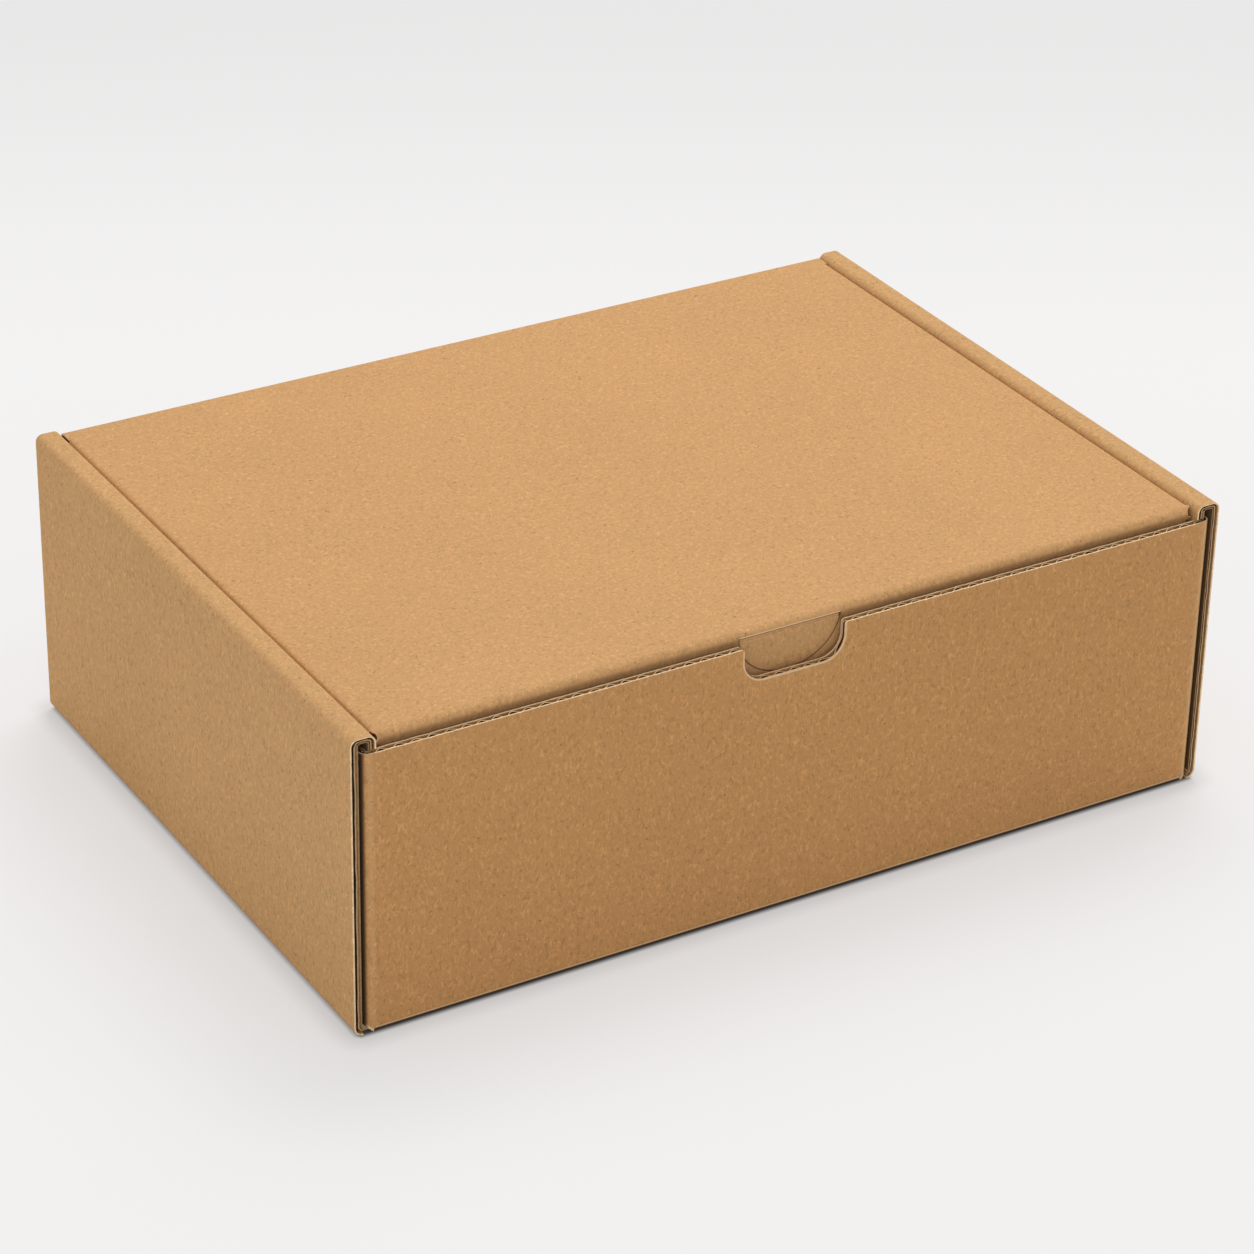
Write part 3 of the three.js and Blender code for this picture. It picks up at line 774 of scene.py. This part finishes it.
def edge_grid(xs, section, drop, slit=0.0):
    """Lid grid: side edges pressed down by drop in a quarter round, a round bite by the crease,
    and over the pull tab a squarer crease, pushed out by slit, with the flap's face set back under it."""
    grid = swept_x(xs, section)
    past = np.clip((np.abs(grid[..., 0]) - (LID_HALF - PRESSED_RIM)) / PRESSED_RIM, 0, 1)
    on_panel = section[:, 0] > TUCK_FACE + CREASE_RADIUS
    grid[..., 2] -= drop * (1.0 - np.sqrt(1.0 - 0.97 * past**2)) * on_panel[None]
    middle = np.array((TUCK_FACE + 0.76, LID_TOP - CREASE_RADIUS + 0.6))
    off = np.linalg.norm(section - middle, axis=1)
    bite = np.sqrt(np.clip(RELIEF_RADIUS**2 - np.minimum(off, RELIEF_RADIUS) ** 2, 0, None))
    near = smooth_step((np.abs(grid[..., 0]) - (LID_HALF - RELIEF_REACH)) / RELIEF_REACH)
    grid[..., 0] -= np.sign(grid[..., 0]) * bite[None] * near
    over_tab = (np.abs(xs - NOTCH_MIDDLE) < NOTCH_HALF)[:, None]
    low = LID_TOP - CREASE_RADIUS
    above = (section[:, 1] > low - 0.05) & (section[:, 0] < TUCK_FACE + CREASE_RADIUS)
    share = np.sin(np.pi * np.clip((section[:, 1] - low) / CREASE_RADIUS, 0, 1))
    grid[..., 1] -= over_tab * (slit * share * above)[None]
    below = smooth_step((low - 0.1 - section[:, 1]) / 0.3)
    grid[..., 1] += over_tab * (slit * below)[None]
    return grid


def lid_columns(half, step=6.0):
    """Places across the lid, closer together by the side edges."""
    middle = np.linspace(-half + RIM_WIDTH, half - RIM_WIDTH, round(2 * half / step))
    rim = half - RIM_WIDTH * (1.0 - np.linspace(0.0, 1.0, 15)[1:] ** 0.6)
    cuts = [NOTCH_MIDDLE + side * (NOTCH_HALF + off) for side in (-1, 1) for off in (-0.1, 0.1)]
    return np.sort(np.concatenate((-rim, middle, rim, cuts)))


def add_lid_panel(sheet):
    """Panel and crease, as wide as the lid, down to where the ears begin."""
    outer, inner = lid_sections(EAR_TOP)
    xs = lid_columns(LID_HALF)
    sheet.board(edge_grid(xs, outer, PRESSED_DROP, SLIT_BULGE), edge_grid(xs, inner, 0.0))
    inset = xs * (1.0 - CORE_INSET / LID_HALF)
    sheet.core(edge_grid(inset, outer, PRESSED_DROP), edge_grid(inset, inner, 0.0))


def add_tuck_flap(sheet):
    """Tuck flap and ears: columns that lean back in proportion to their distance below the lid's top."""
    outer, inner = folded_path(LID_HALF, TUCK_FACE, TUCK_FACE + EAR_END, WAVE_STEP)
    length = EAR_END - FOLD_OUTSIDE
    out = np.clip((outer[:, 1] - TUCK_FACE - FOLD_OUTSIDE) / length, 0, 1)
    past = np.clip(1.0 - (TUCK_FACE + EAR_END - outer[:, 1]) / EAR_ROUND, 0, 1)
    taper = EAR_TAPER * out + EAR_ROUND * (1.0 - np.sqrt(1.0 - past**2))
    low, high = TUCK_FOOT + taper, EAR_TOP - taper

    def grid(path, heights, sink):
        made = np.empty((len(path), len(heights), 3))
        level = (low + sink)[:, None] + (high - low - sink)[:, None] * heights[None]
        made[..., 0] = path[:, 0, None]
        made[..., 1] = path[:, 1, None] + TUCK_LEAN * (LID_TOP - level)
        made[..., 2] = level
        return made

    along = outer[:, 0] + np.sign(outer[:, 0]) * (outer[:, 1] - TUCK_FACE)
    rows = np.linspace(0.0, 1.0, 9)
    ragged = RAGGED[0] + RAGGED[1] * unrest(along, 31, 5.0)
    sheet.board(grid(outer, rows, ragged), grid(inner, rows, ragged))
    sink = SUNK_IN_FLAP[0] + SUNK_IN_FLAP[1] * unrest(along, 32, 6.0)
    run = np.repeat(along[:, None], 9, axis=1)
    sheet.medium(grid(outer, rows * 0.995, sink), grid(inner, rows * 0.995, sink), run)


def lid_sheet():
    sheet = Sheet()
    add_lid_panel(sheet)
    add_tuck_flap(sheet)
    return sheet


def crease_sheet():
    """Crease between back wall and lid: the same board, from the wall up and round to the panel."""
    sheet = Sheet()
    turn = HALF_DEPTH - CREASE_RADIUS
    low = LID_TOP - CREASE_RADIUS
    outer = joined(
        line((HALF_DEPTH, BACK_WALL_TOP), (HALF_DEPTH, low), 8),
        arc((turn, low), CREASE_RADIUS, 0, 90, 12),
        line((turn, LID_TOP), (LID_BACK, LID_TOP), 8),
    )
    back = HALF_DEPTH - BOARD
    bend = LID_UNDERSIDE - FOLD_INSIDE
    inner = joined(
        line((back, BACK_WALL_TOP), (back, bend), 8),
        arc((back - FOLD_INSIDE, bend), FOLD_INSIDE, 0, 90, 12),
        line((back - FOLD_INSIDE, LID_UNDERSIDE), (LID_BACK, LID_UNDERSIDE), 8),
    )
    xs = lid_columns(LID_HALF)
    sheet.board(swept_x(xs, outer), swept_x(xs, inner))
    inset = xs * (1.0 - CORE_INSET / LID_HALF)
    sheet.core(swept_x(inset, outer), swept_x(inset, inner))
    return sheet


def floor_paper():
    """Pale matt paper. To the camera it is part even tone, painted lighter near the camera and darker far
    off, so that shadows on it stay faint, and under the box's rounded foot it has a dark painted contact
    shadow."""
    s = Shader("floor_paper", 0.9)
    x, y, _ = s.axes(s.place())
    beside = (x.size() - (HALF_WIDTH - FOOT_INSET)).most(0.0)
    before = (y.size() - (HALF_DEPTH - FOOT_INSET)).most(0.0)
    distance = (beside * beside + before * before).power(0.5)
    # Painted contact shadow: a dark line along the foot, lighter beside the side walls, and a soft shade
    # round it
    dark = CONTACT_DARK - CONTACT_SIDE_LIGHTER * beside.between(0.0, 1.0)
    soft = distance.between(*CONTACT_SHADE) * CONTACT_SHADE_DARK
    painted_contact_shadow = (distance.between(*CONTACT_SHADOW_LINE) * dark).most(soft)
    grain = s.mixed(s.noise(s.place(), 3.0, 2.0), tinted(FLOOR_COLOUR, 0.992), tinted(FLOOR_COLOUR, 1.008))
    material = s.finish(s.mixed(painted_contact_shadow, grain, CONTACT_SHADOW_COLOUR))
    # Painted light: the even tone is lighter near the camera and darker far off
    far = (x * CAMERA_HEADING[0] + y * CAMERA_HEADING[1]).between(*TONE_CHANGE)
    tone = s.mixed(far, FLOOR_TONE_NEAR, FLOOR_TONE_FAR)
    inputs = {"Base Color": (0.0, 0.0, 0.0), "Specular IOR Level": 0.0, "Emission Color": tone,
              "Emission Strength": 1.0}
    even = s.node("ShaderNodeBsdfPrincipled", inputs)
    share = distance.between(0.0, EVENNESS_REACH) * (FLOOR_EVENNESS - CONTACT_EVENNESS) + CONTACT_EVENNESS
    s.choose(s.seen() * share * (1.0 - painted_contact_shadow), Value(s, s.surface.outputs[0]), even, "Material Output")
    return material


def add_floor():
    """A flat round sheet, far wider than the view: a disc from rings of a fixed radius."""
    turns = np.linspace(0.0, 2 * np.pi, FLOOR_SIDES + 1)[:-1]
    points = [(0.0, 0.0, 0.0)]
    points += [(r * np.cos(a), r * np.sin(a), 0.0) for r in FLOOR_RADII for a in turns]
    following = [(i, (i + 1) % FLOOR_SIDES) for i in range(FLOOR_SIDES)]
    faces = [(0, 1 + i, 1 + j) for i, j in following]
    for ring in range(len(FLOOR_RADII) - 1):
        inner, outer = 1 + FLOOR_SIDES * ring, 1 + FLOOR_SIDES * (ring + 1)
        faces += [(inner + i, outer + i, outer + j, inner + j) for i, j in following]
    mesh = bpy.data.meshes.new("floor")
    mesh.from_pydata(points, [], faces)
    floor = bpy.data.objects.new("floor", mesh)
    bpy.context.scene.collection.objects.link(floor)
    floor.location.z = FLOOR_LEVEL
    mesh.materials.append(floor_paper())


def add_lamp(name, place, width, height, watts, colour):
    data = bpy.data.lights.new(name, "AREA")
    data.shape = "RECTANGLE"
    data.size, data.size_y = width, height
    data.energy = watts
    data.color = colour
    lamp = bpy.data.objects.new(name, data)
    bpy.context.scene.collection.objects.link(lamp)
    lamp.location = place
    lamp.rotation_mode = "QUATERNION"
    lamp.rotation_quaternion = (Vector(LAMP_TARGET) - Vector(place)).to_track_quat("-Z", "Y")


def add_world():
    """Even light all round, with a plain pale backdrop where the camera sees past the floor."""
    world = bpy.data.worlds.new("studio")
    bpy.context.scene.world = world
    world.use_nodes = True
    sky = Nodes(world.node_tree)
    light = sky.node("ShaderNodeBackground", {"Color": WORLD_COLOUR, "Strength": WORLD_STRENGTH})
    backdrop = sky.node("ShaderNodeBackground", {"Color": BACKDROP_COLOUR, "Strength": 1.0})
    sky.choose(sky.seen(), light, backdrop, "World Output")


def add_camera():
    data = bpy.data.cameras.new("camera")
    data.lens = CAMERA_LENS
    data.sensor_width = 36.0
    data.clip_start, data.clip_end = 0.05, 60.0
    camera = bpy.data.objects.new("camera", data)
    bpy.context.scene.collection.objects.link(camera)
    right, forward = Vector(CAMERA_RIGHT), Vector(CAMERA_FORWARD)
    turn = Matrix((right, right.cross(forward), -forward)).transposed()
    camera.matrix_world = Matrix.Translation(CAMERA_PLACE) @ turn.to_4x4()
    bpy.context.scene.camera = camera


lid_kraft = kraft("kraft_lid", LID_COLOUR, lid_cuts_and_painted_shade)
wall_kraft = kraft("kraft_wall", WALL_COLOUR, side_painted_shade)
front_kraft = kraft("kraft_front_shaded", FRONT_SHADED_COLOUR, front_painted_light_and_shade)
inside_kraft = [kraft(*row) for row in (
    ("kraft_cut_edge", EDGE_COLOUR), ("kraft_deep_shade", DEEP_SHADE_COLOUR), ("kraft_raw_end", RAW_COLOUR),
    ("kraft_dull_edge", DULL_COLOUR))]

tray = tray_sheet().make("tray_board", (wall_kraft, *inside_kraft, front_kraft))
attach(tray, "tray")
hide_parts("box_tray")

lid = lid_sheet().make("lid_board", (lid_kraft, *inside_kraft))
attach(lid, "lid")
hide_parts("box_lid")

crease = crease_sheet().make("lid_crease", (lid_kraft, *inside_kraft))
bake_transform(crease)

add_floor()
for lamp in LAMPS:
    add_lamp(*lamp)
add_world()
add_camera()
bpy.context.scene.view_settings.view_transform = "Standard"
